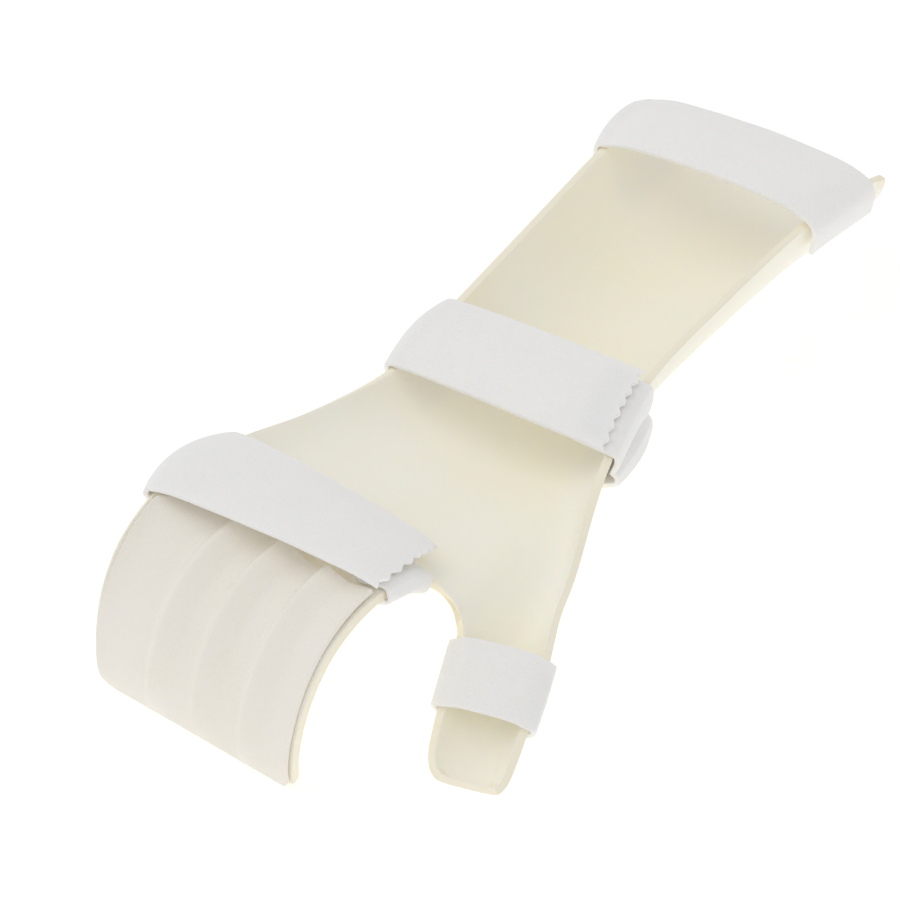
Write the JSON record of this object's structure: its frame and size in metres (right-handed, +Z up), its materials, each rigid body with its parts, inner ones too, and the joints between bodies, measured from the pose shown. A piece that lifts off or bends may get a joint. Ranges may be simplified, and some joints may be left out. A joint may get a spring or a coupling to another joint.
{
  "type": "resting hand splint",
  "caption": "Moulded resting splint for a right hand: open forearm trough, thumb trough and curved finger pan with divider ridges, closed by soft straps over forearm, wrist, palm and thumb.",
  "frame": {"origin": "on the surface that the splint rests on, under the middle of its box", "axes": "+X from the elbow end towards the fingertips, +Y towards the thumb, +Z up, out of the open trough"},
  "size_m": [0.3408, 0.1466, 0.0619],
  "materials": {
    "shell_plastic": "smooth warm white moulded sheet, satin",
    "liner": "soft white lining, matt",
    "strap": "white loop-faced strapping, matt"
  },
  "bodies": {
    "root": {"shell": "shell_plastic", "finger_liner": "liner", "forearm_strap": "strap", "wrist_strap": "strap", "wrist_tab": "strap", "palm_strap": "strap", "palm_tab": "strap", "thumb_strap": "strap"}
  },
  "joints": []
}
